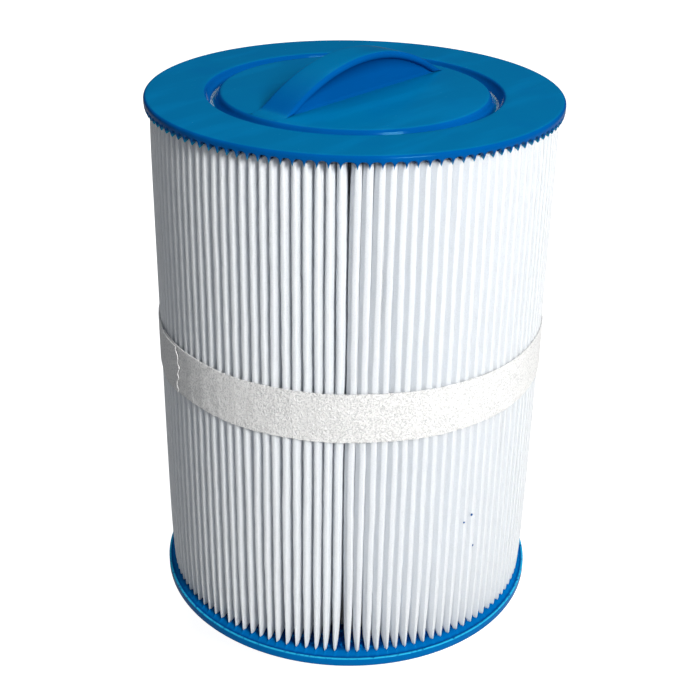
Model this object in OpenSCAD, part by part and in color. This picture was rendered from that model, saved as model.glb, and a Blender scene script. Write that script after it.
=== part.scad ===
// Pleated spa filter cartridge with a grip on its closed top cap and a threaded outlet below.
// The origin is the centre of the seating face under the bottom cap. +Z points to the grip,
// and the grip runs along X.

/* [Cartridge] */
// Outer diameter of both end caps
cap_d = 152; // [148:1:160]
// Height from the seating face to the flat top of the upper cap
body_h = 203; // [150:1:300]
// Thickness of the top cap at its rim
top_t = 4.6; // [4.4:0.1:6]
// Thickness of the bottom cap at the pleats
bottom_t = 5; // [5:0.1:8]
// Rounding of the cap rims
rim_r = 1.2; // [0.6:0.1:1.8]

/* [Groove in the top cap] */
// Outer diameter of the ring groove at the top
groove_d = 107.8; // [98:0.2:116]
// Width of the groove at the top
groove_w = 4.2; // [3:0.1:6]
// Width of the groove at its floor
groove_floor_w = 1.8; // [1:0.1:2.5]
// Depth of the groove, down to the ends of the pleats
groove_depth = 3.8; // [2:0.1:4]

/* [Grip] */
// Length of the grip where it leaves the disc
grip_l = 86; // [70:1:92]
// Height of the grip over the disc
grip_h = 14; // [10:0.5:25]
// Width of the grip's flange
flange_w = 13.6; // [12:0.2:18]
// Thickness of the grip's flange
flange_t = 2.8; // [2:0.1:4]
// Thickness of the grip's web
web_t = 10; // [4:0.5:11]

/* [Pleats] */
// Number of pleats
pleats = 120; // [60:2:130]
// Diameter over the pleat tips
pleat_d = 148.6; // [144:0.2:149]
// Thickness of the filter sheet
sheet_t = 0.6; // [0.4:0.05:0.6]
// Width of one pleat near its tip
tip_w = 2.4; // [1.8:0.1:2.6]
// Valley that holds the side seam, in degrees
seam_angle = -141; // [-180:3:180]

/* [Band] */
// Height of the band's centre over the seating face
band_z = 108.2; // [60:0.2:150]
// Width of the band
band_w = 19; // [10:0.5:30]
// Thickness of the band
band_t = 0.6; // [0.3:0.05:0.6]
// Where the band's ends overlap, in degrees
lap_angle = 157; // [-180:1:180]
// Length of the overlap
lap_l = 16; // [8:1:40]

/* [Core] */
// Outer diameter of the core tube
core_d = 50; // [46:0.5:52]
// Wall of the core tube
core_wall = 2.6; // [2:0.1:3]
// Windows around the core, an even number
windows = 10; // [6:2:12]
// Rows of windows
window_rows = 12; // [4:1:13]
// Width of a window
window_w = 7; // [4:0.5:9]
// Height of a window
window_h = 9; // [5:0.5:10]

/* [Threaded outlet] */
// Diameter over the thread's crests
thread_d = 48.26; // [48:0.02:48.6]
// Distance from one crest to the next
thread_pitch = 2.209; // [2:0.001:2.5]
// Depth of the thread
thread_depth = 1.3; // [0.8:0.05:1.5]
// How far the outlet stands out below the seating face
outlet_l = 25; // [20:0.5:30]
// Diameter of the outlet's bore
outlet_bore_d = 38; // [34:0.5:39]
// Length of the spigot inside the core
spigot_l = 17; // [8:0.5:20]
// Diameter of the collar that lies flush with the seating face
collar_d = 55; // [52:0.5:57]
// Diameter of the flange that the resin holds
anchor_d = 66; // [58:1:80]

/* [Hidden] */
$fn = 180;
fit = 0.02;                         // shaves a cut so that two faces don't share one plane

cap_r = cap_d / 2;
media_z = bottom_t;                 // the pleats stand on the bottom cap
media_top = body_h - top_t;         // and end under the top cap
pleat_r = pleat_d / 2;
pleat_step = 360 / pleats;
core_r = core_d / 2;
bore_r = core_r - core_wall;        // inside of the core
fold_r = core_r + 0.3;              // inner folds of the pleats
outlet_r = outlet_bore_d / 2;
crest_r = thread_d / 2;
collar_r = collar_d / 2;
anchor_z = 1.8;                     // underside of the outlet's flange
anchor_t = 2.4;
plug_h = 8;
plug_t = 2.4;
grip_r = (pow(grip_l / 2, 2) + pow(grip_h, 2)) / (2 * grip_h);
grip_z = body_h + grip_h - grip_r;  // centre of the grip's arc

// A point in a pleat's own axes: r runs along its middle, s across it
function at_pleat(i, r, s) = let (a = (i + 0.5) * pleat_step)
    [r * cos(a) - s * sin(a), r * sin(a) + s * cos(a)];

// Half of a slab's outline with both outer corners rounded
module rounded_half_slab(r, h, corner) {
    square([r - corner, h]);
    translate([0, corner]) square([r, h - 2 * corner]);
    for (z = [corner, h - corner]) translate([r - corner, z]) circle(corner, $fn = 48);
}

// Cast ring and disc over the pleats, with the groove between them and a boss into the plug
module top_end_cap() {
    groove_r = groove_d / 2;
    inner_r = groove_r - groove_w;
    floor_r = groove_r - (groove_w - groove_floor_w) * 0.6;
    color("#0076af") rotate_extrude() {
        difference() {
            translate([0, media_top]) rounded_half_slab(cap_r, top_t, rim_r);
            polygon([
                [inner_r, body_h + 1],
                [inner_r, body_h],
                [floor_r - groove_floor_w, body_h - groove_depth],
                [floor_r, body_h - groove_depth],
                [groove_r, body_h],
                [groove_r, body_h + 1]
            ]);
        }
        translate([0, media_top - plug_h + plug_t]) square([bore_r - plug_t, plug_h - plug_t + fit]);
    }
}

// Arched grip: a solid web under a wider flange with rounded edges
module grip_handle() {
    half_angle = asin(grip_l / 2 / grip_r) + 3;
    bead = flange_t / 2;
    color("#0066b0") difference() {
        translate([0, 0, grip_z]) rotate([90, 0, 0]) {
            linear_extrude(web_t, center = true) circle(grip_r - bead);
            rotate([0, 0, 90 - half_angle]) rotate_extrude(angle = 2 * half_angle)
                translate([grip_r - bead, 0]) {
                    square([flange_t, flange_w - flange_t], center = true);
                    for (side = [-1, 1])
                        translate([0, side * (flange_w / 2 - bead)]) circle(bead, $fn = 32);
                }
        }
        translate([0, 0, body_h - 2 * grip_r])
            cube([4 * grip_r, 4 * web_t, 4 * grip_r], center = true);
    }
}

// The filter sheet, folded into a ring of pleats
module pleated_media() {
    nose = 1.3;                     // length of the rounded end of a pleat
    slit = 0.08;                    // half the gap between a pleat's legs at the core
    outer = [for (i = [0:pleats - 1]) each [
        at_pleat(i, (fold_r + sheet_t) * cos(pleat_step / 2), -(fold_r + sheet_t) * sin(pleat_step / 2)),
        at_pleat(i, pleat_r - nose, -tip_w / 2),
        at_pleat(i, pleat_r, -tip_w / 5),
        at_pleat(i, pleat_r, tip_w / 5),
        at_pleat(i, pleat_r - nose, tip_w / 2)
    ]];
    inner = [for (i = [0:pleats - 1]) each [
        at_pleat(i, fold_r, -slit),
        at_pleat(i, pleat_r - nose, sheet_t - tip_w / 2),
        at_pleat(i, pleat_r - sheet_t, 0),
        at_pleat(i, pleat_r - nose, tip_w / 2 - sheet_t),
        at_pleat(i, fold_r, slit)
    ]];
    color("#f4f6f8") translate([0, 0, media_z]) linear_extrude(media_top - media_z)
        difference() {
            polygon(outer);
            polygon(inner);
        }
}

// Tape that joins the two ends of the sheet, in one valley
module seam_strip() {
    tape_r = 56;
    tape_l = 15;
    tape_t = 0.7;
    color("#c9ced2") rotate([0, 0, seam_angle]) translate([tape_r, -tape_t / 2, media_z])
        cube([tape_l, tape_t, media_top - media_z]);
}

// Fleece strip around the pleats, with its ends lapped
module retaining_band() {
    inner_r = pleat_r + 0.1;
    lap_deg = lap_l / inner_r * 180 / PI;
    color("#fbfbfb") translate([0, 0, band_z - band_w / 2]) {
        rotate_extrude() translate([inner_r, 0]) square([band_t, band_w]);
        rotate([0, 0, lap_angle - lap_deg / 2]) rotate_extrude(angle = lap_deg)
            translate([inner_r + band_t - fit, 0]) square([band_t, band_w]);
    }
}

// Perforated tube that the pleats close around
module core_tube() {
    z0 = anchor_z + anchor_t;
    height = media_top - z0;
    first = spigot_l + 8 + window_h / 2;
    pitch = (media_top - plug_h - 8 - window_h / 2 - first) / (window_rows - 1);
    color("#e9ebec") difference() {
        translate([0, 0, z0]) cylinder(r = core_r, h = height);
        translate([0, 0, z0 - 1]) cylinder(r = bore_r, h = height + 2);
        for (row = [0:window_rows - 1], bar = [0:windows / 2 - 1])
            translate([0, 0, first + row * pitch])
                rotate([0, 0, (bar + (row % 2) / 2) * 360 / windows])
                    cube([core_d + 2, window_w, window_h], center = true);
    }
}

// Cup that closes the top of the core against the resin
module core_plug() {
    color("#e1e4e6") translate([0, 0, media_top - plug_h]) difference() {
        cylinder(r = bore_r, h = plug_h);
        translate([0, 0, plug_t]) cylinder(r = bore_r - plug_t, h = plug_h);
    }
}

// Cast cap under the pleats; it holds the outlet's flange and the foot of the core
module bottom_end_cap() {
    color("#006eb4") rotate_extrude() difference() {
        union() {
            rounded_half_slab(cap_r, bottom_t - 1, rim_r);
            square([pleat_r - 0.5, bottom_t]);
        }
        translate([0, -1]) square([collar_r, bottom_t + 2]);
        translate([0, anchor_z]) square([anchor_d / 2, anchor_t]);
        translate([0, anchor_z + anchor_t]) square([core_r, bottom_t]);
    }
}

// Moulded outlet: thread below the cap, flange in the resin, spigot in the core
module threaded_outlet() {
    root_r = crest_r - thread_depth;
    crests = floor((outlet_l - 3) / thread_pitch);
    crest_w = thread_pitch / 4;
    flank = (thread_pitch - 2 * crest_w) / 2;
    first_z = 1.2 - outlet_l;
    thread = [for (i = [0:crests - 1]) let (z = first_z + i * thread_pitch) each [
        [root_r, z], [crest_r, z + flank], [crest_r, z + flank + crest_w], [root_r, z + 2 * flank + crest_w]
    ]];
    profile = concat(
        [[outlet_r, -outlet_l], [root_r, -outlet_l]],
        thread,
        [
            [root_r, -1.2], [crest_r, 0], [collar_r, 0], [collar_r, anchor_z],
            [anchor_d / 2, anchor_z], [anchor_d / 2, anchor_z + anchor_t],
            [bore_r, anchor_z + anchor_t], [bore_r, spigot_l], [outlet_r, spigot_l]
        ]
    );
    color("#0a6cae") rotate_extrude() polygon(profile);
}

top_end_cap();
grip_handle();
pleated_media();
seam_strip();
retaining_band();
core_tube();
core_plug();
bottom_end_cap();
threaded_outlet();
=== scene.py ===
"""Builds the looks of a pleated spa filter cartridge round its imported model."""

import math

import bmesh
import bpy
from mathutils import Matrix, Vector


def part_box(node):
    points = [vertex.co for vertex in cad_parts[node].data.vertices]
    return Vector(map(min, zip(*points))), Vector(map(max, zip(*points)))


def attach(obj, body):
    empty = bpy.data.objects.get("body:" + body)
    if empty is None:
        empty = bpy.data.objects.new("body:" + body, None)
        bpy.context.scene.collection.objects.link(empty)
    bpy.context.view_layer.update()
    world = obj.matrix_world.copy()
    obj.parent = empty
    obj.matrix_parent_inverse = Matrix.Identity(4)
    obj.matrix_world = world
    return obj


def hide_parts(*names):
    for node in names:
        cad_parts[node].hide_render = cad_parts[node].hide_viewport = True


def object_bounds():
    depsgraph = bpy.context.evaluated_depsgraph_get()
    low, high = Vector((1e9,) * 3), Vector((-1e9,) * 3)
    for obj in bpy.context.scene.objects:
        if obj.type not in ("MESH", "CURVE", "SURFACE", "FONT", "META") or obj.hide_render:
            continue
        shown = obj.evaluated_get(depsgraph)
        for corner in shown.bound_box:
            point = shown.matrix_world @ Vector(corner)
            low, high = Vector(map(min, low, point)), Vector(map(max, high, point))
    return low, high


bl_info = {
    "name": "Spa Filter Cartridge",
    "version": (1, 0, 0),
    "blender": (4, 5, 0),
    "location": "View3D > Sidebar > Filter",
    "description": "Builds a pleated filter cartridge with caps, grip, fleece band and threaded outlet",
    "category": "Add Mesh",
}

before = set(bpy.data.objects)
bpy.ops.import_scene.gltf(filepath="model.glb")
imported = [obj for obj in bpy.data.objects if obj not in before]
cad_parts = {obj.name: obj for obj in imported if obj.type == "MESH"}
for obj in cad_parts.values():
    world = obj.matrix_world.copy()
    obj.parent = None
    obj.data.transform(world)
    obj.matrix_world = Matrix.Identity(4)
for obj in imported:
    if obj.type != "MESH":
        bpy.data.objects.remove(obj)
CAD_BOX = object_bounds()
BODY = "root"
MM = 0.001

CAP_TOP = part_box("top_end_cap")[1].z
CAP_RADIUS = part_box("top_end_cap")[1].x
GRIP_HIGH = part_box("grip_handle")[1]
MEDIA_LOW, MEDIA_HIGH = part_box("pleated_media")
BAND_LOW, BAND_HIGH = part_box("retaining_band")
CORE_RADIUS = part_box("core_tube")[1].x
OUTLET_LOW, OUTLET_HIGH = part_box("threaded_outlet")
# just under the outlet, whose end would otherwise lie in the floor's own plane
FLOOR_Z = CAD_BOX[0].z - 0.2 * MM


# ---------------------------------------------------------------- sizes and colours

def length(name, default, description):
    """A length that the panel shows in the scene's units."""
    return bpy.props.FloatProperty(
        name=name, default=default, description=description, unit="LENGTH", precision=5)


def angle(name, degrees, description):
    """An angle that the panel shows in degrees."""
    return bpy.props.FloatProperty(
        name=name, default=math.radians(degrees), description=description, subtype="ANGLE")


def colour(name, rgb, description):
    """A colour that the panel shows as a swatch."""
    return bpy.props.FloatVectorProperty(
        name=name, default=rgb, description=description, subtype="COLOR", size=3, min=0, max=1)


def number(name, default, description):
    """A plain number."""
    return bpy.props.FloatProperty(name=name, default=default, description=description)


def whole(name, default, low, description):
    """A whole number that is at least low."""
    return bpy.props.IntProperty(name=name, default=default, min=low, description=description)


class PleatSizes(bpy.types.PropertyGroup):
    """How the filter sheet is folded."""

    count: whole("Pleats", 120, 20, "Pleats around the core")
    steps: whole("Steps", 16, 8, "Columns of faces in one pleat")
    rows: whole("Rows", 46, 8, "Rows of points up a pleat")
    tip_radius: length("Tip radius", MEDIA_HIGH.x, "From the axis to a pleat's tip")
    nose: length("Nose", 0.6 * MM, "Length of a pleat's rounded end")
    half_width: length("Half width", 0.88 * MM, "Half the width of a pleat near its tip")
    roll: length("Roll", 1.15 * MM, "How far the pleats beside the seam bow towards it behind their tips")
    seam: angle("Seam", -141, "Direction of the valley where the sheet's ends meet")
    seed: whole("Seed", 11, 0, "Which set of uneven pleats")


class CapSizes(bpy.types.PropertyGroup):
    """The two caps cast from resin."""

    steps: whole("Steps", 10, 6, "Columns of faces over one pleat")
    rim: length("Rim rounding", 1.3 * MM, "Radius of the caps' rounded rims")
    groove_outer: length("Groove, outside", 53.9 * MM, "Radius of the groove's outer edge")
    groove_inner: length("Groove, inside", 49.6 * MM, "Radius of the disc inside the groove")
    groove_depth: length("Groove depth", 3.8 * MM, "From the cap's top down to the pleat ends")
    tooth: length("Teeth", 2.9 * MM, "How far the resin runs down over each pleat")
    arch_top: length("Arches", 2.1 * MM, "From the cap's top down to the arches between the teeth")
    rim_height: length("Lower rim", 3.9 * MM, "Height of the bottom cap's rim")
    pool: length("Lower resin", 4.9 * MM, "Height of the resin between the pleats in the bottom cap")


class GripSizes(bpy.types.PropertyGroup):
    """The arched grip on the disc."""

    half_length: length("Half length", GRIP_HIGH.x, "From the middle to where the arch meets the disc")
    height: length("Height", 14 * MM, "From the disc up to the arch's top")
    half_flange: length("Half flange", GRIP_HIGH.y, "Half the width of the flange")
    half_web: length("Half web", 5 * MM, "Half the thickness of the web under the flange")
    bead: length("Bead", 1.4 * MM, "Radius of the flange's rounded edge")
    foot: length("Foot", 0.9 * MM, "Radius of the fillet at the foot of the web")


class BandSizes(bpy.types.PropertyGroup):
    """The fleece strip round the pleats."""

    width: length("Width", BAND_HIGH.z - BAND_LOW.z, "Width of the strip")
    thickness: length("Thickness", 0.4 * MM, "Thickness of the strip")
    lap: length("Overlap", 16 * MM, "How far the strip's ends lap over each other")
    lap_angle: angle("Overlap at", 157, "Direction of the overlap")


class OutletSizes(bpy.types.PropertyGroup):
    """The threaded outlet under the bottom cap."""

    crest: length("Crest radius", 24.13 * MM, "Radius over the thread's crests")
    depth: length("Thread depth", 1.3 * MM, "From crest to root")
    pitch: length("Pitch", 2.209 * MM, "From one crest to the next")
    bore: length("Bore radius", 19 * MM, "Radius of the bore")
    collar: length("Collar radius", 27.5 * MM, "Radius of the collar in the seating face")


class Finishes(bpy.types.PropertyGroup):
    """Colours of the cartridge."""

    resin: colour("Resin", (0.0, 0.08, 0.3), "Cast polyurethane of the caps")
    # painted light: the resin drawn lighter and more teal where it faces up, as if lit from above
    resin_painted_top_light: colour("Resin, upper faces", (0.0, 0.137, 0.32), "The same resin where it faces up")
    foot_side: colour("Foot, side", (0.0, 0.132, 0.41), "Side of the bottom cap")
    # painted shade: the bottom cap's upward faces drawn darker than its side, for the shade between the pleat
    # feet
    foot_top_painted_shade: colour("Foot, top", (0.0, 0.06, 0.26), "Resin round the foot of the pleats")
    # painted shade: the resin between the pleat feet drawn near black, where the shade between the pleats
    # falls
    foot_painted_shade_between_pleats: colour("Foot, between pleats", (0.0, 0.016, 0.1), "Resin drawn up between the pleats")
    # partly the lighter look of thin resin over white fleece, partly a painted highlight along the tooth tips
    # and the bottom rim's edge
    thin_resin_and_painted_highlight: colour("Thin resin", (0.02, 0.42, 0.7), "Resin drawn out to a thin edge")
    fleece: colour("Fleece", (0.70, 0.73, 0.77), "Spunbond filter sheet")
    band: colour("Band", (0.96, 0.98, 1.0), "Loose fleece of the band")
    plastic: colour("Core plastic", (0.72, 0.73, 0.74), "Moulded polypropylene of the core")
    outlet: colour("Outlet plastic", (0.0, 0.10, 0.36), "Moulded ABS of the outlet")
    floor: colour("Floor", (0.42, 0.42, 0.42), "Pale floor")


class StageSizes(bpy.types.PropertyGroup):
    """Camera and lights."""

    azimuth: angle("Camera azimuth", -50, "Direction that the camera looks from")
    distance: length("Camera distance", 454.3 * MM, "Level distance from the axis to the camera")
    height: length("Camera height", 328.4 * MM, "Height of the camera over the seating face")
    pitch: angle("Camera pitch", 26.99, "How far the camera looks down")
    roll: angle("Camera roll", 1.08, "How far the camera leans")
    lens: number("Lens", 65.56, "Focal length in millimetres")
    key: number("Key light", 19.6, "Power of the key light in watts")
    key_turn: angle("Key light turn", 32, "How far round from the camera the key light stands")
    fill: number("Fill light", 1.5, "Power of the fill light in watts")
    top: number("Top light", 11, "Power of the light over the back in watts")
    sky: number("Surround", 0.12, "Strength of the pale surround")
    glow: number("Floor glow", 0.95, "How much the paper floor is lifted")


# ---------------------------------------------------------------- node helpers

class Wire:
    """A socket in a node tree; arithmetic on it adds Math nodes."""

    def __init__(self, tree, socket):
        self.tree = tree
        self.socket = socket

    def math(self, operation, *others):
        node = self.tree.nodes.new("ShaderNodeMath")
        node.operation = operation
        for socket, value in zip(node.inputs, (self, *others)):
            plug(socket, value)
        return Wire(self.tree, node.outputs[0])

    def __add__(self, other):
        return self.math("ADD", other)

    __radd__ = __add__

    def __sub__(self, other):
        return self.math("SUBTRACT", other)

    def __rsub__(self, other):
        return (self * -1).math("ADD", other)

    def __mul__(self, other):
        return self.math("MULTIPLY", other)

    __rmul__ = __mul__

    def __truediv__(self, other):
        return self.math("DIVIDE", other)

    def __rtruediv__(self, other):
        return self.math("POWER", -1.0) * other

    def clamp(self):
        """This value kept between 0 and 1."""
        return self.math("MAXIMUM", 0.0).math("MINIMUM", 1.0)

    def mix(self, other, share):
        """This value where share is 0, the other where it is 1."""
        return self + (other - self) * share

    def smooth(self, low, high):
        """0 below low, 1 above high, and a smooth step between."""
        node = self.tree.nodes.new("ShaderNodeMapRange")
        node.interpolation_type = "SMOOTHSTEP"
        plug(node.inputs["Value"], self)
        plug(node.inputs["From Min"], low)
        plug(node.inputs["From Max"], high)
        return Wire(self.tree, node.outputs["Result"])


def plug(socket, value):
    """Links a wire to a socket, or sets the socket to a plain value."""
    if isinstance(value, Wire):
        value.tree.links.new(value.socket, socket)
    else:
        socket.default_value = value


def fill_in(node, inputs):
    """Fills a node's named inputs with wires and plain values."""
    for name, value in inputs.items():
        plug(node.inputs[name], value)


def add_node(tree, kind, inputs=None, **settings):
    """A new node with its settings made and its named inputs filled."""
    node = tree.nodes.new(kind)
    for name, value in settings.items():
        setattr(node, name, value)
    fill_in(node, inputs or {})
    return node


def wire(node, name=0):
    """An output of a node, as a wire."""
    return Wire(node.id_data, node.outputs[name])


def new_tree(name, kind, inputs, outputs):
    """A node group with its named sockets; returns the tree, its input wires and its output node."""
    tree = bpy.data.node_groups.new(name, kind)
    for label, socket, default in inputs:
        item = tree.interface.new_socket(label, in_out="INPUT", socket_type="NodeSocket" + socket)
        if default is not None:
            item.default_value = default
    for label, socket in outputs:
        tree.interface.new_socket(label, in_out="OUTPUT", socket_type="NodeSocket" + socket)
    source = tree.nodes.new("NodeGroupInput")
    sink = tree.nodes.new("NodeGroupOutput")
    return tree, {label: wire(source, label) for label, _, _ in inputs}, sink


def new_geometry_tree(name, counts, sizes):
    """A geometry tree that takes a mesh, whole numbers, plain numbers and a material."""
    inputs = [("Geometry", "Geometry", None)]
    inputs += [(label, "Int", 0) for label in counts]
    inputs += [(label, "Float", 0.0) for label in sizes]
    inputs.append(("Material", "Material", None))
    return new_tree(name, "GeometryNodeTree", inputs, [("Geometry", "Geometry")])


def vector(tree, x, y, z):
    """A vector wire from three numbers or wires."""
    return wire(add_node(tree, "ShaderNodeCombineXYZ", {"X": x, "Y": y, "Z": z}))


def split(tree, value):
    """The three parts of a vector wire."""
    node = add_node(tree, "ShaderNodeSeparateXYZ", {"Vector": value})
    return wire(node, "X"), wire(node, "Y"), wire(node, "Z")


def noise(tree, place, scale, detail=2.0, roughness=0.5):
    """Noise from 0 to 1 at a place."""
    node = add_node(tree, "ShaderNodeTexNoise", {
        "Vector": place, "Scale": scale, "Detail": detail, "Roughness": roughness})
    return wire(node, 0)


def linked(name, data):
    """A new object in the scene, holding a mesh, a light or a camera."""
    thing = bpy.data.objects.new(name, data)
    bpy.context.scene.collection.objects.link(thing)
    return thing


def grown(name, tree, values, material, source=None):
    """Runs a geometry tree, on a mesh object if it needs one, and keeps the result as a plain mesh."""
    source = source or mesh_object("seed_point", [(0, 0, 0)], [])
    modifier = source.modifiers.new(tree.name, "NODES")
    modifier.node_group = tree
    sockets = {item.name: item.identifier for item in tree.interface.items_tree
               if item.item_type == "SOCKET" and item.in_out == "INPUT"}
    for label, value in {**values, "Material": material}.items():
        modifier[sockets[label]] = value
    bpy.context.view_layer.update()
    evaluated = source.evaluated_get(bpy.context.evaluated_depsgraph_get())
    mesh = bpy.data.meshes.new_from_object(evaluated)
    source.modifiers.clear()
    bpy.data.objects.remove(source)
    mesh.name = name
    return linked(name, mesh)


def closed_with(tree, geometry, material, sink):
    """Ends a geometry tree: merged, smooth, realized and with its material set."""
    merged = add_node(tree, "GeometryNodeMergeByDistance", {"Geometry": geometry, "Distance": 1e-6})
    shaded = add_node(tree, "GeometryNodeSetShadeSmooth", {"Geometry": wire(merged), "Shade Smooth": True})
    realized = add_node(tree, "GeometryNodeRealizeInstances", {"Geometry": wire(shaded)})
    painted = add_node(tree, "GeometryNodeSetMaterial", {"Geometry": wire(realized), "Material": material})
    plug(sink.inputs["Geometry"], wire(painted))


def moved_and_closed(tree, mesh, place, material, sink):
    """Moves a mesh's points to their places and ends the tree."""
    placed = add_node(tree, "GeometryNodeSetPosition", {"Geometry": mesh, "Position": place})
    closed_with(tree, wire(placed), material, sink)


# ---------------------------------------------------------------- mesh helpers

def mesh_object(name, points, faces, edges=()):
    """A mesh object from points, faces and loose edges."""
    mesh = bpy.data.meshes.new(name)
    mesh.from_pydata(points, edges, faces)
    mesh.update()
    return linked(name, mesh)


def grid_faces(columns, rows, around=False, across=False):
    """Quads of a grid of points stored column by column, closed round either way on demand."""
    faces = []
    for c in range(columns if around else columns - 1):
        for r in range(rows if across else rows - 1):
            here, beside = c * rows, (c + 1) % columns * rows
            above = (r + 1) % rows
            faces.append((here + r, beside + r, beside + above, here + above))
    return faces


def arc(centre, radius, start, end, steps):
    """Points on an arc in the plane of a profile, from one angle in degrees to another."""
    return [(centre[0] + radius * math.cos(math.radians(start + (end - start) * i / steps)),
             centre[1] + radius * math.sin(math.radians(start + (end - start) * i / steps)))
            for i in range(steps + 1)]


def outward(piece):
    """Turns a closed piece's faces outwards."""
    shape = bmesh.new()
    shape.from_mesh(piece.data)
    bmesh.ops.remove_doubles(shape, verts=shape.verts, dist=1e-7)
    bmesh.ops.recalc_face_normals(shape, faces=shape.faces)
    shape.to_mesh(piece.data)
    shape.free()


def finished(piece, material, slot, *nodes, smooth=True):
    """Gives a piece its material and body, smooths it on demand and hides the model's nodes that it stands
    for; its slot is not used.
    """
    if not piece.data.materials:
        piece.data.materials.append(material)
    if smooth:
        piece.data.shade_smooth()
    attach(piece, BODY)
    if nodes:
        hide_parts(*nodes)
    return piece


# ---------------------------------------------------------------- shared rules of the pleats

PLEAT_RULES = ("Lean", "Half Width", "Inset", "Roll", "Apart", "Tight")


def pleat_shape():
    """Node group: how far one pleat leans, bows and draws in at a height from 0 to 1.

    "Apart" is how far it stands off its neighbours where the resin pinches it, and "Tight" is
    how closely its folds are pressed together."""
    name = "Pleat Shape"
    if name in bpy.data.node_groups:
        return bpy.data.node_groups[name]
    tree, given, sink = new_tree(
        name, "GeometryNodeTree",
        [("Pleat", "Float", 0.0), ("Pleats", "Float", 120.0), ("Height", "Float", 0.5),
         ("Half Width", "Float", 1 * MM), ("Roll", "Float", 1 * MM), ("Seed", "Float", 0.0)],
        [(label, "Float") for label in PLEAT_RULES])
    count = given["Pleats"]
    height = given["Height"]
    index = given["Pleat"] - (given["Pleat"] / count + 1e-4).math("FLOOR") * count
    last = count - 1 - index
    key = index * 3.71 + given["Seed"] * 17.3

    def uneven(waves, row):
        """Noise round 0 for this pleat, with so many waves up its height; each row is another noise."""
        return noise(tree, vector(tree, key, height * waves, row), 1.0, 1.0) - 0.5

    parted = (index * (-1 / 6)).math("EXPONENT") - (last * (-1 / 6)).math("EXPONENT")
    ends = (height - 0.5).math("ABSOLUTE") * 2
    lean = parted * (0.4 * MM + ends * 0.2 * MM) + uneven(0.0, 0.0) * 1.3 * MM
    lean = lean + uneven(3.0, 4.0) * 0.9 * MM
    lean = lean + uneven(17.0, 9.0) * 0.65 * MM * (1 - ends * ends)
    # the folds are pinched where the resin holds them, most of all at the foot
    foot = (height * -13).math("EXPONENT")
    head = ((height - 1) * 22).math("EXPONENT")
    swell = 1 + uneven(0.0, 21.0) * 0.5 + uneven(6.0, 31.0) * 0.35 + uneven(22.0, 51.0) * 0.6
    width = given["Half Width"] * swell * (1 - foot * 0.86) * (1 - head * 0.3)
    near = index.math("MINIMUM", last)
    side = (last - index).math("SIGN")
    bowed = (near * (-1 / 14)).math("EXPONENT") * (1 - (near * -0.9).math("EXPONENT") * 0.5)
    roll = given["Roll"] * (side * bowed + uneven(4.0, 41.0) * 0.7) * (1 - foot) * (1 - head)
    # folds are pressed together beside the seam, further and harder on one side of it than the other
    tight = 1 - index.smooth(26.0, 46.0) + (1 - last.smooth(3.0, 22.0)) * 0.6
    fill_in(sink, {
        "Lean": lean, "Half Width": width, "Inset": foot * 1.1 * MM + head * 0.5 * MM, "Roll": roll,
        "Apart": foot * 0.6 + head * 0.1, "Tight": tight.clamp()})
    return tree


def ask_pleat(tree, given, pleat, height):
    """Places the pleat rules in a tree and returns what they put out, in their order."""
    shared = {label: given[label] for label in ("Pleats", "Half Width", "Roll", "Seed")}
    node = add_node(tree, "GeometryNodeGroup", {"Pleat": pleat, "Height": height, **shared},
                    node_tree=pleat_shape())
    return [wire(node, label) for label in PLEAT_RULES]


def polar(r, heading):
    """X and Y of a place at a radius in a direction."""
    return r * heading.math("COSINE"), r * heading.math("SINE")


def grid_places(tree, columns, rows):
    """A mesh grid and, for each of its points, the column and the row."""
    grid = add_node(tree, "GeometryNodeMeshGrid", {
        "Size X": columns, "Size Y": rows - 1, "Vertices X": columns + 1, "Vertices Y": rows})
    x, y, _ = split(tree, wire(add_node(tree, "GeometryNodeInputPosition")))
    return wire(grid, "Mesh"), x + columns / 2, y + (rows - 1) / 2


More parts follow.
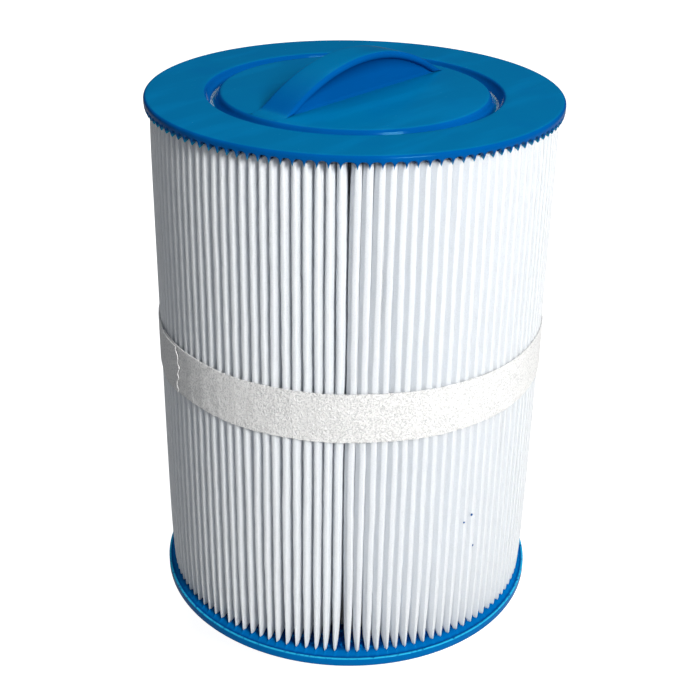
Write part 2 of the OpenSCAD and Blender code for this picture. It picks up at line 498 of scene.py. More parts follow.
def pleated_sheet_tree():
    """Geometry tree: the folded sheet, with its inner folds closed round the core."""
    tree, given, sink = new_geometry_tree(
        "Pleated Sheet", ("Pleats", "Steps", "Rows", "Seed"),
        ("Tip Radius", "Fold Radius", "Nose", "Half Width", "Roll", "Bottom", "Top", "Seam"))
    rows = given["Rows"] + 3
    mesh, column, row = grid_places(tree, given["Pleats"] * given["Steps"], rows)
    turn = column / given["Steps"]
    pleat = (turn + 1e-4).math("FLOOR")
    across = (turn - pleat) * 2 - 1
    q = across.math("ABSOLUTE")
    side = across.math("SIGN")
    # rows 0 and last are the same inner ring, so the surface closes on itself
    outer = row.math("GREATER_THAN", 0.5) * row.math("LESS_THAN", given["Rows"] + 0.5)
    closing = row.math("GREATER_THAN", given["Rows"] + 1.5)
    t = ((row - 1) / (given["Rows"] - 1)).clamp() * (1 - closing)
    height = t - (t * math.tau).math("SINE") * 0.1
    lean, half_width, inset, roll, apart, tight = ask_pleat(tree, given, pleat, height)
    step = math.tau / given["Pleats"]
    fold = given["Fold Radius"]
    tip = given["Tip Radius"] - inset
    round_part = (q * 2).math("MINIMUM", 1.0)
    leg = ((q - 0.5) * 2).math("MAXIMUM", 0.0)
    deep = (leg.math("POWER", 4.5) + leg * (1 - leg) * 0.12).mix(leg.math("POWER", 3.5), tight)
    turned = round_part * (math.pi / 2)
    # the powers flatten the fold and tighten its two corners
    r = (tip - given["Nose"] * (1 - turned.math("COSINE")).math("POWER", 1.6)).mix(fold, deep)
    # behind its tip a pleat springs open until it leans on its neighbours
    beside = (r * (step / 2) - 0.06 * MM) * (1 - apart)
    opened = leg.smooth(0.15 - tight * 0.25, 0.5 - tight * 0.12)
    s = (half_width * turned.math("SINE").math("POWER", 0.65)).mix(beside, opened)
    reach = (r - fold) / (given["Tip Radius"] - fold)
    behind = (1 - reach) * 6
    s = s * side + lean * reach * reach - roll * behind * (1 - behind).math("EXPONENT")
    ring = fold - 0.3 * MM
    half_turn = across * step / 2
    r = ring.mix(r, outer)
    s = (ring * half_turn.math("SINE")).mix(s, outer)
    r = (r * half_turn.math("COSINE")).mix(r, outer)
    heading = given["Seam"] + (pleat + 0.5) * step
    x = r * heading.math("COSINE") - s * heading.math("SINE")
    y = r * heading.math("SINE") + s * heading.math("COSINE")
    # the sheet stands higher outside the groove, and lower under the arches between the teeth
    top = given["Top"] + r.smooth(58 * MM, 64 * MM) * 2.2 * MM
    top = top - r.smooth(71.6 * MM, 74.2 * MM) * 2.1 * MM - (1 - outer) * 4 * MM
    z = given["Bottom"].mix(top, height)
    moved_and_closed(tree, mesh, vector(tree, x, y, z), given["Material"], sink)
    return tree


def cast_ring_tree():
    """Geometry tree: turns a profile round the axis, with resin drawn along every pleat.

    The profile is a row of points in the XZ plane. Its "hang" attribute is how far a point
    is drawn along Z under a pleat's tip."""
    tree, given, sink = new_geometry_tree(
        "Cast Ring", ("Pleats", "Steps", "Seed"),
        ("Half Width", "Roll", "Height", "Tip Radius", "Seam", "Roundness"))
    size = add_node(tree, "GeometryNodeAttributeDomainSize", {"Geometry": given["Geometry"]})
    mesh, column, row = grid_places(tree, given["Pleats"] * given["Steps"], wire(size, "Point Count"))
    index = (row + 0.5).math("FLOOR")

    def sampled(kind, value):
        """A field of the profile, read at this row."""
        node = add_node(tree, "GeometryNodeSampleIndex", {"Geometry": given["Geometry"]}, data_type=kind)
        plug(node.inputs["Value"], value)
        plug(node.inputs["Index"], index)
        return wire(node, 0)

    r, _, z = split(tree, sampled("FLOAT_VECTOR", wire(add_node(tree, "GeometryNodeInputPosition"))))
    named = add_node(tree, "GeometryNodeInputNamedAttribute", {"Name": "hang"}, data_type="FLOAT")
    hang = sampled("FLOAT", wire(named, 0))
    turn = column / given["Steps"]
    pleat = (turn + 1e-4).math("FLOOR")
    share = turn - pleat
    step = math.tau / given["Pleats"]

    def crest(offset):
        """The direction of a pleat's crest, counted from this one."""
        lean = ask_pleat(tree, given, pleat + offset, given["Height"])[0]
        return (pleat + (offset + 0.5)) * step + lean / given["Tip Radius"]

    here = crest(0)
    before = (crest(-1) + here) / 2
    after = (crest(1) + here) / 2
    first = before.mix(here, (share * 2).math("MINIMUM", 1.0))
    heading = first.mix(after, (share * 2 - 1).math("MAXIMUM", 0.0)) + given["Seam"]
    from_valley = 1 - (share * 2 - 1).math("ABSOLUTE")
    bow = (1 - from_valley * from_valley * 0.999).math("SQRT")
    drawn = (1 - bow).math("POWER", given["Roundness"])
    x, y = polar(r, heading)
    moved_and_closed(tree, mesh, vector(tree, x, y, z - hang * drawn), given["Material"], sink)
    return tree


def profile_object(rows):
    """A row of points with the "hang" attribute, from (radius, height, hang) triples."""
    points = [(r, 0, z) for r, z, _ in rows]
    edges = [(i, i + 1) for i in range(len(points) - 1)]
    piece = mesh_object("profile", points, [], edges)
    hang = piece.data.attributes.new("hang", "FLOAT", "POINT")
    hang.data.foreach_set("value", [h for _, _, h in rows])
    return piece


# ---------------------------------------------------------------- materials

def shader_group(name, inputs, outputs, build):
    """A shader node group, made once."""
    if name in bpy.data.node_groups:
        return bpy.data.node_groups[name]
    tree, given, sink = new_tree(name, "ShaderNodeTree", inputs, outputs)
    build(tree, given, sink)
    return tree


def object_place(tree, scale=(1, 1, 1), turn=(0, 0, 0)):
    """Object coordinates, stretched and turned."""
    place = wire(add_node(tree, "ShaderNodeTexCoord"), "Object")
    return wire(add_node(tree, "ShaderNodeMapping", {"Vector": place, "Scale": scale, "Rotation": turn}))


def fibre_mat():
    """Shader group: strands of a spunbond or fleece lying every way, as a mask and a normal."""
    def build(tree, given, sink):
        layers = []
        for turn, stretch in (((0.3, 0.2, 0.5), 0.16), ((1.1, 0.7, 1.9), 0.14), ((0.6, 1.5, 2.7), 0.18)):
            place = object_place(tree, (stretch, 1, 1), turn)
            layers.append(noise(tree, place, given["Scale"], 3.0, 0.6))
        strands = layers[0].math("MAXIMUM", layers[1]).math("MAXIMUM", layers[2])
        strands = strands.smooth(0.5, 0.74)
        blotch = noise(tree, object_place(tree), given["Scale"] * 0.12, 2.0)
        # fine specks of the fleece: real grain in the bump, and painted fibre glints in the colour
        grain_and_painted_glint = noise(tree, object_place(tree), given["Scale"] * 1.6, 2.0, 0.8).smooth(0.39, 0.54)
        bump = add_node(tree, "ShaderNodeBump", {
            "Strength": given["Strength"], "Distance": 0.0004, "Height": strands + grain_and_painted_glint * 0.6})
        fill_in(sink, {"Strands": strands, "Grain And Painted Glints": grain_and_painted_glint, "Blotches": blotch, "Normal": wire(bump)})
    return shader_group(
        "Fibre Mat",
        [("Scale", "Float", 900.0), ("Strength", "Float", 0.3)],
        [("Strands", "Float"), ("Grain And Painted Glints", "Float"), ("Blotches", "Float"), ("Normal", "Vector")], build)


def cast_skin():
    """Shader group: the skin of a cast or moulded plastic, with soft streaks, pits and a mask of its upward
    faces, where light and shade are painted.
    """
    def build(tree, given, sink):
        streaks = noise(tree, object_place(tree, (0.22, 1, 1), (0, 0, 0.35)), 95.0, 3.0)
        ripple = noise(tree, object_place(tree), 60.0, 2.0)
        pits = noise(tree, object_place(tree), 900.0, 2.0).smooth(0.74, 0.82)
        height = ripple * 0.6 + streaks * given["Streaks"] - pits * 0.35
        bump = add_node(tree, "ShaderNodeBump", {
            "Strength": given["Strength"], "Distance": 0.0004, "Height": height})
        # upward faces, where the top colour paints light on the top cap and grip and shade on the bottom cap
        upright = split(tree, wire(add_node(tree, "ShaderNodeNewGeometry"), "Normal"))[2]
        fill_in(sink, {
            "Streaks": streaks.smooth(0.45, 0.7), "Pits": pits, "Normal": wire(bump),
            "Top": upright.smooth(0.8, 0.99) * (0.7 + ripple * 0.6).clamp()})
    return shader_group(
        "Cast Skin",
        [("Streaks", "Float", 0.3), ("Strength", "Float", 0.12)],
        [("Streaks", "Float"), ("Pits", "Float"), ("Top", "Float"), ("Normal", "Vector")], build)


def blend(tree, dark, light, share):
    """Blends two colours, or a colour and a blend, by a mask."""
    node = add_node(tree, "ShaderNodeMix", data_type="RGBA")
    for socket, value in ((node.inputs[6], dark), (node.inputs[7], light)):
        plug(socket, value if isinstance(value, Wire) else (*value, 1))
    plug(node.inputs[0], share)
    return wire(node, 2)


def tinted(rgb, factor):
    """A colour made lighter or darker."""
    return tuple(min(1.0, c * factor) for c in rgb)


def new_material(name):
    """A material with its Principled shader."""
    material = bpy.data.materials.new(name)
    material.use_nodes = True
    return material, material.node_tree, material.node_tree.nodes["Principled BSDF"]


def resin_material(name, deep, top, streaks=0.3, roughness=0.12):
    """Glossy coloured plastic with soft streaks; its upward faces take the top colour, painted light where
    that is lighter than the body and painted shade where it is darker.
    """
    material, tree, shader = new_material(name)
    skin = add_node(tree, "ShaderNodeGroup", node_tree=cast_skin())
    fill_in(skin, {"Streaks": streaks})
    body = blend(tree, tinted(deep, 0.96), tinted(deep, 1.06), wire(skin, "Streaks"))
    # painted shading for the upward faces: lighter for painted light, darker for painted shade
    face = blend(tree, tinted(top, 0.95), tinted(top, 1.06), wire(skin, "Streaks"))
    rough = wire(skin, "Streaks") * 0.06 + wire(skin, "Pits") * 0.2 + wire(skin, "Top") * 0.07 + roughness
    fill_in(shader, {
        "Base Color": blend(tree, body, face, wire(skin, "Top")), "Roughness": rough,
        "Normal": wire(skin, "Normal"), "Specular IOR Level": 0.06, "Specular Tint": (0.2, 0.85, 1.0, 1)})
    return material


def recolour(material, rgb, *bands):
    """Blends a colour in where every band of distances holds: ("radius" or "height", none, full)."""
    tree = material.node_tree
    x, y, z = split(tree, wire(add_node(tree, "ShaderNodeTexCoord"), "Object"))
    radius = (x * x + y * y).math("SQRT")
    share = noise(tree, object_place(tree), 700.0, 1.0).smooth(0.2, 0.5)
    for kind, none, full in bands:
        share = share * (radius if kind == "radius" else z).smooth(none, full)
    socket = tree.nodes["Principled BSDF"].inputs["Base Color"]
    before = Wire(tree, socket.links[0].from_socket)
    plug(socket, blend(tree, before, rgb, share))


def fleece_material(name, rgb, scale, strength, contrast, glow=1.0, weld=False):
    """White fibrous sheet. Glow is how much light it lets through; it is melted where "weld" is 1."""
    material, tree, shader = new_material(name)
    mat = add_node(tree, "ShaderNodeGroup", node_tree=fibre_mat())
    fill_in(mat, {"Scale": scale, "Strength": strength})
    # the glint mask paints bright fibre glints into the colour, beside the strands and blotches of the
    # fleece's own grain
    share = wire(mat, "Strands") * 0.3 + wire(mat, "Grain And Painted Glints") * 0.8 + wire(mat, "Blotches") * 0.5
    mixed = blend(tree, tinted(rgb, 1 - contrast), tinted(rgb, 1 + contrast * 0.5), share.clamp())
    if weld:
        melted = wire(add_node(tree, "ShaderNodeAttribute", attribute_name="weld"), "Fac")
        mixed = blend(tree, mixed, (0.96, 0.96, 0.97), melted)
    fill_in(shader, {
        "Base Color": mixed, "Roughness": 0.75 - wire(mat, "Strands") * 0.3, "Normal": wire(mat, "Normal"),
        "Specular IOR Level": 0.12, "Sheen Weight": 0.04 + 0.65 * (1 - glow), "Sheen Roughness": 0.5,
        "Subsurface Weight": glow, "Subsurface Radius": (1.0, 1.0, 1.0), "Subsurface Scale": 3 * MM})
    return material


# ---------------------------------------------------------------- pieces

def build_media(scene):
    """The pleated filter sheet."""
    sizes = scene.filter_pleats
    material = fleece_material("filter_fleece", scene.filter_finishes.fleece, 1500.0, 0.25, 0.06)
    piece = grown("pleated_filter_sheet", pleated_sheet_tree(), {
        "Pleats": sizes.count, "Steps": sizes.steps, "Rows": sizes.rows,
        "Tip Radius": sizes.tip_radius, "Fold Radius": CORE_RADIUS + 0.4 * MM, "Nose": sizes.nose,
        "Half Width": sizes.half_width, "Roll": sizes.roll, "Bottom": MEDIA_LOW.z - 1.5 * MM,
        "Top": CAP_TOP - scene.filter_caps.groove_depth - 0.3 * MM,
        "Seam": sizes.seam, "Seed": sizes.seed}, material)
    outward(piece)
    return finished(piece, material, "filter_fleece", "pleated_media")


def pleat_ends_tree():
    """Geometry tree: short bars along the radius, one for each leg of each pleat."""
    tree, given, sink = new_geometry_tree("Pleat Ends", ("Ends", "Seed"), ("Radius", "Length", "Thickness"))
    ring = add_node(tree, "GeometryNodeMeshCircle", {"Vertices": given["Ends"], "Radius": given["Radius"]})
    bar = add_node(tree, "GeometryNodeMeshCylinder", {
        "Vertices": 8, "Radius": given["Thickness"] / 2, "Depth": given["Length"]})
    place = wire(add_node(tree, "GeometryNodeInputPosition"))
    aimed = add_node(tree, "FunctionNodeAlignRotationToVector", {"Vector": place}, axis="Z")
    jitter = add_node(tree, "FunctionNodeRandomValue", {"Seed": given["Seed"]}, data_type="FLOAT_VECTOR")
    jitter.inputs[0].default_value = (0.8, 0.75, 0.8)
    jitter.inputs[1].default_value = (1.25, 1.3, 1.0)
    bars = add_node(tree, "GeometryNodeInstanceOnPoints", {
        "Points": wire(ring), "Instance": wire(bar), "Rotation": wire(aimed), "Scale": wire(jitter)})
    closed_with(tree, wire(bars), given["Material"], sink)
    return tree


def build_pleat_ends(scene):
    """The ends of the pleats, which show in the floor of the groove in the top cap."""
    caps = scene.filter_caps
    material = fleece_material("pleat_end_fleece", (0.2, 0.3, 0.38), 1500.0, 0.25, 0.1)
    piece = grown("pleat_ends", pleat_ends_tree(), {
        "Ends": 2 * scene.filter_pleats.count, "Radius": caps.groove_outer - 1.9 * MM,
        "Length": 1.5 * MM, "Thickness": 0.42 * MM, "Seed": scene.filter_pleats.seed}, material)
    lift = CAP_TOP - caps.groove_depth - 0.05 * MM
    piece.data.transform(Matrix.Translation((0, 0, lift)))
    return finished(piece, material, "filter_fleece")


def build_flecks(scene):
    """Three specks of resin that splashed on the pleats while the cap was cast."""
    material = resin_material("fleck_resin", scene.filter_finishes.resin, scene.filter_finishes.resin)
    sheet = bpy.data.objects["pleated_filter_sheet"]
    shape = bmesh.new()
    outside = 76
    for degrees, height, size in ((-101.6, 58.4, 0.45), (-104.5, 56.4, 0.35), (-99.3, 43.8, 0.4)):
        turn = math.radians(degrees)
        wanted = Vector((math.cos(turn) * outside * MM, math.sin(turn) * outside * MM, height * MM))
        _, spot, normal, _ = sheet.closest_point_on_mesh(wanted)
        flat = Matrix.Diagonal((size * MM, size * 1.3 * MM, 0.22 * MM, 1))
        aimed = normal.to_track_quat("Z", "Y").to_matrix().to_4x4()
        bmesh.ops.create_icosphere(shape, subdivisions=2, radius=1,
                                   matrix=Matrix.Translation(spot) @ aimed @ flat)
    mesh = bpy.data.meshes.new("resin_flecks")
    shape.to_mesh(mesh)
    shape.free()
    return finished(linked("resin_flecks", mesh), material, "top_resin")


def cap_piece(scene, name, rows, height, roundness, material):
    """A cap turned from its profile, with resin drawn along the pleats."""
    pleats = scene.filter_pleats
    piece = grown(name, cast_ring_tree(), {
        "Pleats": pleats.count, "Steps": scene.filter_caps.steps, "Half Width": pleats.half_width,
        "Roll": pleats.roll, "Height": height, "Tip Radius": pleats.tip_radius, "Seam": pleats.seam,
        "Seed": pleats.seed, "Roundness": roundness}, material, profile_object(rows))
    outward(piece)
    return piece


def build_top_cap(scene):
    """The cast ring and disc over the pleats, with teeth of resin down the pleat tips."""
    sizes = scene.filter_caps
    # the upward faces of the cap take the painted top light
    material = resin_material("cap_resin", scene.filter_finishes.resin, scene.filter_finishes.resin_painted_top_light)
    floor_z = CAP_TOP - sizes.groove_depth
    edge = 1.8 * MM
    lip = 1.4 * MM
    flat = [(0, CAP_TOP), (20 * MM, CAP_TOP), (sizes.groove_inner - 2.2 * MM, CAP_TOP)]
    disc_edge = arc((sizes.groove_inner - edge, CAP_TOP - edge), edge, 78, 12, 5)
    floor = [(sizes.groove_inner + 0.9 * MM, floor_z), (sizes.groove_outer - 1.6 * MM, floor_z)]
    ring_lip = arc((sizes.groove_outer + lip * 0.8, CAP_TOP - lip), lip, 165, 95, 5)
    ring = [(56.5 * MM, CAP_TOP), (66 * MM, CAP_TOP), (CAP_RADIUS - sizes.rim - 0.5 * MM, CAP_TOP)]
    rim = arc((CAP_RADIUS - sizes.rim, CAP_TOP - sizes.rim), sizes.rim, 84, 0, 6)
    rows = [(r, z, 0.0) for r, z in flat + disc_edge + floor + ring_lip + ring + rim]
    arch_z = CAP_TOP - sizes.arch_top
    tuck = 0.7 * MM
    steps = 5
    for i in range(steps + 1):
        share = i / steps
        rows.append((CAP_RADIUS - tuck * share ** 3, arch_z + (1 - share) * 0.1 * MM, sizes.tooth * share))
    # from the teeth in over the pleat tips to the axis, each as radius, height and share of the tooth
    for r, z, hang in ((74.4, 0.25, 0.92), (73.4, 0.3, 0.8), (71.5, 0.1, 0.7), (69.5, -1.5, 0.3),
                       (66, -3.5, 0), (40, -3.5, 0), (0, -3.5, 0)):
        rows.append((r * MM, arch_z + z * MM, sizes.tooth * hang))
    # the tooth tips: thin resin over the fleece shows lighter, and a painted highlight outlines them
    recolour(material, scene.filter_finishes.thin_resin_and_painted_highlight, ("radius", 70 * MM, 74 * MM),
             ("height", arch_z - sizes.tooth * 0.4, arch_z - sizes.tooth * 0.9))
    piece = cap_piece(scene, "cast_top_cap", rows, 1.0, 1.0, material)
    return finished(piece, material, "top_resin", "top_end_cap")


def build_bottom_cap(scene):
    """The cast bottom cap, with resin drawn up the foot of every pleat."""
    sizes = scene.filter_caps
    # the upward faces take the darker top colour, painted shade
    material = resin_material("foot_resin", scene.filter_finishes.foot_side, scene.filter_finishes.foot_top_painted_shade)
    hole = scene.filter_outlet.collar
    rim = 1.1 * MM
    rows = [(hole, 0, 0), (hole + 0.3 * MM, 0, 0), (60 * MM, 0, 0)]
    rows += [(r, z, 0) for r, z in arc((CAP_RADIUS - rim, rim), rim, 270, 360, 5)]
    lip = 0.42 * MM
    rows += [(r, z, 0) for r, z in arc((CAP_RADIUS - lip, sizes.rim_height - lip), lip, 0, 150, 6)]
    pool = sizes.pool
    # from the rim in over the pleats, each as radius, height from the pool and how far it is drawn
    for r, z, hang in ((74.8, -1.1, 0), (74.4, -1.0, -0.1), (73.9, -0.6, -0.45), (73.4, -0.3, -1.1),
                       (72.4, 0.3, -0.4), (71.0, 1.6, 1.2), (69.0, 3.6, 3.4), (66, 5.6, 5.6),
                       (60, 6.5, 6.5), (26, 6.5, 6.5)):
        rows.append((r * MM, pool + z * MM, hang * MM))
    rows.append((hole - 1 * MM, pool - 2 * MM, 0))
    rows.append((hole, 1.5 * MM, 0))
    rows.append((hole, 0, 0))
    # painted shade between the pleat feet, inside the rim and low in the pool
    recolour(material, scene.filter_finishes.foot_painted_shade_between_pleats, ("radius", 73.6 * MM, 71.2 * MM),
             ("height", pool - 1 * MM, pool + 0.5 * MM))
    # painted highlight along the top edge of the bottom cap's rim, where a thin flash of resin also shows
    # lighter
    recolour(material, scene.filter_finishes.thin_resin_and_painted_highlight, ("radius", 75.0 * MM, 75.3 * MM),
             ("height", sizes.rim_height - 0.5 * MM, sizes.rim_height - 0.1 * MM))
    piece = cap_piece(scene, "cast_bottom_cap", rows, 0.0, 3.0, material)
    return finished(piece, material, "bottom_resin", "bottom_end_cap")


def grip_section(sizes, height):
    """One closed cross-section of the grip, from the foot on one side over to the other."""
    bead = min(sizes.bead, max(height, 0.05 * MM) / 2)
    half = []
    foot_steps = 4
    bead_steps = 10
    for i in range(foot_steps + 1):
        rise = i / foot_steps
        z = min(sizes.foot, height * 0.4) * rise
        half.append((sizes.half_web + sizes.foot * (1 - math.sqrt(1 - (1 - rise) ** 2)), z))
    inner = sizes.half_flange - sizes.bead
    centre = height - bead
    under = max(centre - bead, half[-1][1] + 0.02 * MM)
    half.append((sizes.half_web, (half[-1][1] + under) / 2))
    half.append((sizes.half_web, under))
    for i in range(bead_steps + 1):
        turn = math.radians(-90 + 180 / bead_steps * i)
        half.append((inner + sizes.bead * math.cos(turn), centre + bead * math.sin(turn)))
    half.append((inner * 0.6, height + 0.05 * MM))
    crown = [(0.0, height + 0.07 * MM)]
    # the section starts below the disc's face, so that the two castings flow together
    right = [(half[0][0], -0.6 * MM)] + half
    return right + crown + [(-y, z) for y, z in reversed(right)]


def build_grip(scene):
    """The arched grip, its ends flowing into the disc."""
    sizes = scene.filter_grip
    # the upward faces of the flange take the painted top light
    material = resin_material("grip_resin", scene.filter_finishes.resin, scene.filter_finishes.resin_painted_top_light)
    radius = (sizes.half_length ** 2 + sizes.height ** 2) / (2 * sizes.height)
    flow = 1.0 * MM
    reach = sizes.half_length + 5 * MM
    count = 96
    points = []
    for i in range(count + 1):
        u = -reach * math.cos(math.pi * i / count)
        arch = math.sqrt(radius ** 2 - u ** 2) - radius + sizes.height
        height = (arch + math.sqrt(arch ** 2 + flow ** 2)) / 2 - 0.1 * MM
        points.append([(u, y, CAP_TOP + z) for y, z in grip_section(sizes, height)])
    rows = len(points[0])
    flat = [p for column in points for p in column]
    faces = grid_faces(count + 1, rows, across=True)
    faces.append(tuple(range(rows)))
    faces.append(tuple(count * rows + r for r in reversed(range(rows))))
    piece = mesh_object("arched_grip", flat, faces)
    outward(piece)
    return finished(piece, material, "grip_resin", "grip_handle")


def build_band(scene):
    """The fleece strip held round the pleats, its ends lapped and welded."""
    sizes = scene.filter_band
    material = fleece_material(
        "band_fleece", scene.filter_finishes.band, 950.0, 0.85, 0.38, glow=0.0, weld=True)
    inner = MEDIA_HIGH.x + 0.12 * MM
    lap = sizes.lap / inner
    columns, rows = 900, 13
    lap_rise = 0.68 * MM
    middle = (BAND_LOW.z + BAND_HIGH.z) / 2
    points = []
    weld = []
    for c in range(columns + 1):
        t = c / columns
        over = max(0.0, (t * (math.tau + lap) - math.tau) / lap + 0.25)
        lift = lap_rise * min(1.0, over * 2.5)
        for r in range(rows):
            across = r / (rows - 1) - 0.5
            ragged = 0.012 * math.sin(across * 7 + 1) + 0.009 * math.sin(across * 26)
            heading = sizes.lap_angle - lap / 2 + t * (math.tau + lap) + ragged * min(1.0, over)
            wave = 0.2 * MM * math.sin(heading * 5 + 0.7) + 0.1 * MM * math.sin(heading * 13)
            sag = 0.05 * MM * math.sin(heading * 60) * math.cos(across * math.pi)
            fray = math.sin(heading * 91 + r) + math.sin(heading * 157) + math.sin(heading * 47 + r)
            radius = inner + lift + sag + 0.04 * MM * fray * abs(across)
            z = middle + wave + across * sizes.width + 0.09 * MM * fray * across
            points.append((radius * math.cos(heading), radius * math.sin(heading), z))
            # the loose end is melted down, unevenly, over its last columns of points
            spread = 0.5 + 0.5 * math.sin(across * 23 + 2)
            melted = 0.0
            if c == columns - 2:
                melted = spread * 0.35
            elif c > columns - 2:
                melted = 0.2 + 0.3 * spread
            weld.append(melted)
    piece = mesh_object("fleece_band", points, grid_faces(columns + 1, rows))
    piece.data.attributes.new("weld", "FLOAT", "POINT").data.foreach_set("value", weld)
    thick = piece.modifiers.new("thickness", "SOLIDIFY")
    thick.thickness = sizes.thickness
    thick.offset = 1.0
    piece.data = bpy.data.meshes.new_from_object(piece.evaluated_get(bpy.context.evaluated_depsgraph_get()))
    piece.modifiers.clear()
    piece.data.shade_smooth()
    piece.data.set_sharp_from_angle(angle=math.radians(40))
    finished(piece, material, "band_fleece", "retaining_band", smooth=False)
    return piece


def build_seam(scene):
    """The tape that joins the sheet's ends in one valley."""
    material = fleece_material("seam_tape", tinted(scene.filter_finishes.fleece, 0.7), 1500.0, 0.3, 0.1)
    low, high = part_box("seam_strip")
    heading = scene.filter_pleats.seam
    reach = math.hypot(low.x, low.y)
    start, end = 54 * MM, min(reach, 64 * MM)
    rows, columns = 60, 6
    points = []
    # out along one face and back along the other
    for side, order in ((-1, range(columns)), (1, reversed(range(columns)))):
        for c in order:
            r = start + (end - start) * c / (columns - 1)
            for i in range(rows + 1):
                z = low.z - 1 * MM + (high.z - low.z + 2.5 * MM) * i / rows
                s = side * 0.3 * MM + 0.12 * MM * math.sin(i * 0.7 + c)
                points.append((r * math.cos(heading) - s * math.sin(heading),
                               r * math.sin(heading) + s * math.cos(heading), z))
    faces = grid_faces(2 * columns, rows + 1, around=True)
    faces.append(tuple(c * (rows + 1) for c in range(2 * columns)))
    faces.append(tuple(c * (rows + 1) + rows for c in reversed(range(2 * columns))))
    piece = mesh_object("seam_tape", points, faces)
    outward(piece)
    return finished(piece, material, "seam_tape", "seam_strip")


def thread_tree():
    """Geometry tree: one ridge wound along a helix, thinning out to nothing at both ends."""
    tree, given, sink = new_geometry_tree("Thread", ("Steps",), ("Turns", "Pitch", "Crest", "Depth", "Start"))
    sides = 8
    mesh, column, row = grid_places(tree, (given["Turns"] * given["Steps"]).math("ROUND"), sides)
    turn = column / given["Steps"]
    # the last row lies on the first, which closes the ridge behind its crest
    across = (row * (2 / (sides - 2)) - 1) * row.math("LESS_THAN", sides - 1.5)
    across = across - row.math("GREATER_THAN", sides - 1.5)
    taper = turn.smooth(0.0, 0.6) * (given["Turns"] - turn).smooth(0.0, 0.6)
    rise = ((1 - across.math("ABSOLUTE")) * 1.7).clamp()
    r = given["Crest"] - given["Depth"] * 1.3 + given["Depth"] * 1.3 * rise * taper
    z = given["Start"] - turn * given["Pitch"] + across * given["Pitch"] * 0.46 * taper
    x, y = polar(r, turn * -math.tau)
    moved_and_closed(tree, mesh, vector(tree, x, y, z), given["Material"], sink)
    return tree


def build_thread(scene, material):
    """The male thread round the outlet."""
    sizes = scene.filter_outlet
    start = -2.4 * MM
    plain_end = 2.2 * MM
    turns = (start - OUTLET_LOW.z - plain_end) / sizes.pitch
    piece = grown("outlet_thread", thread_tree(), {
        "Turns": turns, "Steps": 60, "Pitch": sizes.pitch, "Crest": sizes.crest,
        "Depth": sizes.depth, "Start": start}, material)
    outward(piece)
    return finished(piece, material, "outlet_plastic")


def build_outlet(scene):
    """The moulded outlet with its helical thread."""
    sizes = scene.filter_outlet
    plastic = scene.filter_finishes.outlet
    material = resin_material("outlet_plastic", plastic, plastic, 0.1, 0.28)
    root = sizes.crest - sizes.depth
    low, high = OUTLET_LOW.z, OUTLET_HIGH.z
    chamfer = 0.8 * MM
    fillet = 1.2 * MM
    neck = -1.4 * MM
    flange, flange_low, flange_high = 33 * MM, 1.8 * MM, 4.2 * MM
    spigot = 22.4 * MM
    outline = [(sizes.bore, high), (sizes.bore, low + 1 * MM), (sizes.bore + chamfer, low),
               (root - chamfer, low), (root, low + chamfer), (root, neck)]
    outline += arc((root + fillet, neck), fillet, 180, 90, 5)
    outline += [(sizes.collar - 0.4 * MM, -0.15 * MM), (sizes.collar, 0.1 * MM), (sizes.collar, flange_low),
                (flange, flange_low), (flange, flange_high), (spigot, flange_high), (spigot, high)]
    around = 192
    points = [(r * math.cos(math.tau * c / around), r * math.sin(math.tau * c / around), z)
              for c in range(around) for r, z in outline]
    piece = mesh_object("threaded_outlet_body", points,
                        grid_faces(around, len(outline), around=True, across=True))
    outward(piece)
    piece.data.shade_smooth()
    piece.data.set_sharp_from_angle(angle=math.radians(30))
    finished(piece, material, "outlet_plastic", "threaded_outlet", smooth=False)
    build_thread(scene, material)
    return piece


def build_core(scene):
    """The core tube and its plug keep their shapes and get their finish."""
    plastic = scene.filter_finishes.plastic
    material = resin_material("core_plastic", plastic, plastic, 0.2, 0.4)
    for name in ("core_tube", "core_plug"):
        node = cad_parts[name]
        node.data.materials.clear()
        node.data.materials.append(material)


# ---------------------------------------------------------------- stage

def area_light(name, place, side, power):
    """A soft square light aimed at the middle of the cartridge."""
    target = Vector((0, 0, 0.1))
    data = bpy.data.lights.new(name, "AREA")
    data.shape = "RECTANGLE"
    data.size = side
    data.size_y = side
    data.energy = power
    lamp = linked(name, data)
    lamp.location = place
    lamp.rotation_euler = (target - place).to_track_quat("-Z", "Y").to_euler()
    return lamp


def around_axis(azimuth, distance, height):
    """A place seen from the axis in a direction; azimuth 0 is at -Y."""
    return Vector((math.sin(azimuth) * distance, -math.cos(azimuth) * distance, height))


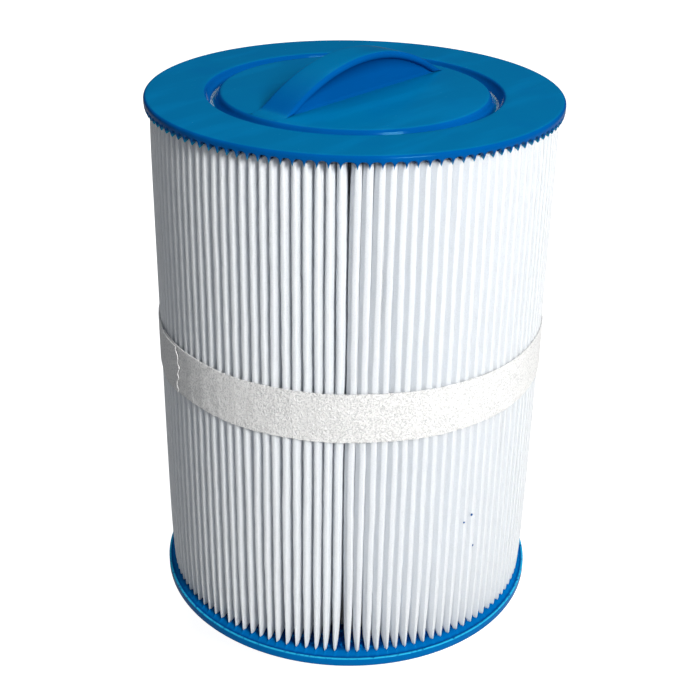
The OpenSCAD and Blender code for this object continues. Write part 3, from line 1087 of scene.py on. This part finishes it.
def build_stage(scene):
    """Camera, floor and soft studio light."""
    sizes = scene.filter_stage
    data = bpy.data.cameras.new("camera")
    data.lens = sizes.lens
    data.sensor_width = 36
    data.clip_start = 0.01
    camera = linked("camera", data)
    place = around_axis(sizes.azimuth, sizes.distance, sizes.height)
    turned = Matrix.Rotation(sizes.azimuth, 4, "Z") @ Matrix.Rotation(math.pi / 2 - sizes.pitch, 4, "X")
    camera.matrix_world = Matrix.Translation(place) @ turned @ Matrix.Rotation(sizes.roll, 4, "Z")
    scene.camera = camera

    half = 8.0
    floor = mesh_object("floor", [(-half, -half, FLOOR_Z), (half, -half, FLOOR_Z),
                                  (half, half, FLOOR_Z), (-half, half, FLOOR_Z)], [(0, 1, 2, 3)])
    material, tree, shader = new_material("floor_paper")
    seen = wire(add_node(tree, "ShaderNodeLightPath"), "Is Camera Ray")
    fill_in(shader, {
        "Base Color": (*scene.filter_finishes.floor, 1), "Roughness": 0.9, "Specular IOR Level": 0.0,
        "Emission Color": (1, 1, 1, 1), "Emission Strength": seen * sizes.glow})
    floor.data.materials.append(material)

    lamps = {}
    for name, turn, distance, height, side, power in (
            ("key", sizes.key_turn, 1.1, 0.8, 0.35, sizes.key),
            ("top", math.radians(172), 0.55, 1.25, 1.3, sizes.top),
            ("fill", -math.radians(20), 1.4, 0.9, 1.0, sizes.fill)):
        place = around_axis(sizes.azimuth + turn, distance, height)
        lamps[name] = area_light(name, place, side, power)
    lamps["key"].data.color = (1.0, 0.99, 0.965)
    # its glare would whiten the grip
    lamps["top"].visible_glossy = False
    world = bpy.data.worlds.new("surround")
    world.use_nodes = True
    background = world.node_tree.nodes["Background"]
    background.inputs["Color"].default_value = (0.82, 0.9, 1.0, 1)
    ray = add_node(world.node_tree, "ShaderNodeLightPath")
    lit = (1 - wire(ray, "Is Glossy Ray") * 0.85) * sizes.sky
    plug(background.inputs["Strength"], lit.mix(1.25, wire(ray, "Is Camera Ray")))
    scene.world = world
    scene.view_settings.view_transform = "Standard"


# ---------------------------------------------------------------- operators and panel

class StageOperator(bpy.types.Operator):
    """Set up the camera, the floor and the lights"""

    bl_idname = "filter.stage"
    bl_label = "Stage"

    def execute(self, context):
        build_stage(context.scene)
        return {"FINISHED"}


class MediaOperator(bpy.types.Operator):
    """Fold the filter sheet"""

    bl_idname = "filter.media"
    bl_label = "Pleated Sheet"

    def execute(self, context):
        build_media(context.scene)
        build_flecks(context.scene)
        return {"FINISHED"}


class SeamOperator(bpy.types.Operator):
    """Tape the sheet's ends together"""

    bl_idname = "filter.seam"
    bl_label = "Seam Tape"

    def execute(self, context):
        build_seam(context.scene)
        return {"FINISHED"}


class BandOperator(bpy.types.Operator):
    """Wrap the fleece band round the pleats"""

    bl_idname = "filter.band"
    bl_label = "Fleece Band"

    def execute(self, context):
        build_band(context.scene)
        return {"FINISHED"}


class TopCapOperator(bpy.types.Operator):
    """Cast the top cap"""

    bl_idname = "filter.top_cap"
    bl_label = "Top Cap"

    def execute(self, context):
        build_top_cap(context.scene)
        build_pleat_ends(context.scene)
        return {"FINISHED"}


class GripOperator(bpy.types.Operator):
    """Make the arched grip"""

    bl_idname = "filter.grip"
    bl_label = "Grip"

    def execute(self, context):
        build_grip(context.scene)
        return {"FINISHED"}


class BottomCapOperator(bpy.types.Operator):
    """Cast the bottom cap"""

    bl_idname = "filter.bottom_cap"
    bl_label = "Bottom Cap"

    def execute(self, context):
        build_bottom_cap(context.scene)
        return {"FINISHED"}


class OutletOperator(bpy.types.Operator):
    """Make the threaded outlet"""

    bl_idname = "filter.outlet"
    bl_label = "Threaded Outlet"

    def execute(self, context):
        build_outlet(context.scene)
        return {"FINISHED"}


class CoreOperator(bpy.types.Operator):
    """Finish the core tube and its plug"""

    bl_idname = "filter.core"
    bl_label = "Core"

    def execute(self, context):
        build_core(context.scene)
        return {"FINISHED"}


OPERATORS = (StageOperator, MediaOperator, SeamOperator, BandOperator, TopCapOperator, GripOperator,
             BottomCapOperator, OutletOperator, CoreOperator)
SETTINGS = {"filter_pleats": PleatSizes, "filter_caps": CapSizes, "filter_grip": GripSizes,
            "filter_band": BandSizes, "filter_outlet": OutletSizes, "filter_finishes": Finishes,
            "filter_stage": StageSizes}


class FilterPanel(bpy.types.Panel):
    """Lists the steps that build the cartridge, and its sizes and colours"""

    bl_idname = "VIEW3D_PT_filter"
    bl_label = "Filter Cartridge"
    bl_space_type = "VIEW_3D"
    bl_region_type = "UI"
    bl_category = "Filter"

    def draw(self, context):
        for operator in OPERATORS:
            self.layout.operator(operator.bl_idname)
        for name in SETTINGS:
            settings = getattr(context.scene, name)
            box = self.layout.box()
            for key in settings.__annotations__:
                box.prop(settings, key)


def register():
    """Adds the settings, the operators and the panel."""
    for settings in SETTINGS.values():
        bpy.utils.register_class(settings)
    for name, settings in SETTINGS.items():
        setattr(bpy.types.Scene, name, bpy.props.PointerProperty(type=settings))
    for item in (*OPERATORS, FilterPanel):
        bpy.utils.register_class(item)


def unregister():
    """Takes them away again."""
    for item in reversed((*OPERATORS, FilterPanel)):
        bpy.utils.unregister_class(item)
    for name in SETTINGS:
        delattr(bpy.types.Scene, name)
    for settings in reversed(SETTINGS.values()):
        bpy.utils.unregister_class(settings)


def main():
    """Builds the cartridge."""
    register()
    for operator in OPERATORS:
        family, name = operator.bl_idname.split(".")
        getattr(getattr(bpy.ops, family), name)()


if __name__ == "__main__":
    main()
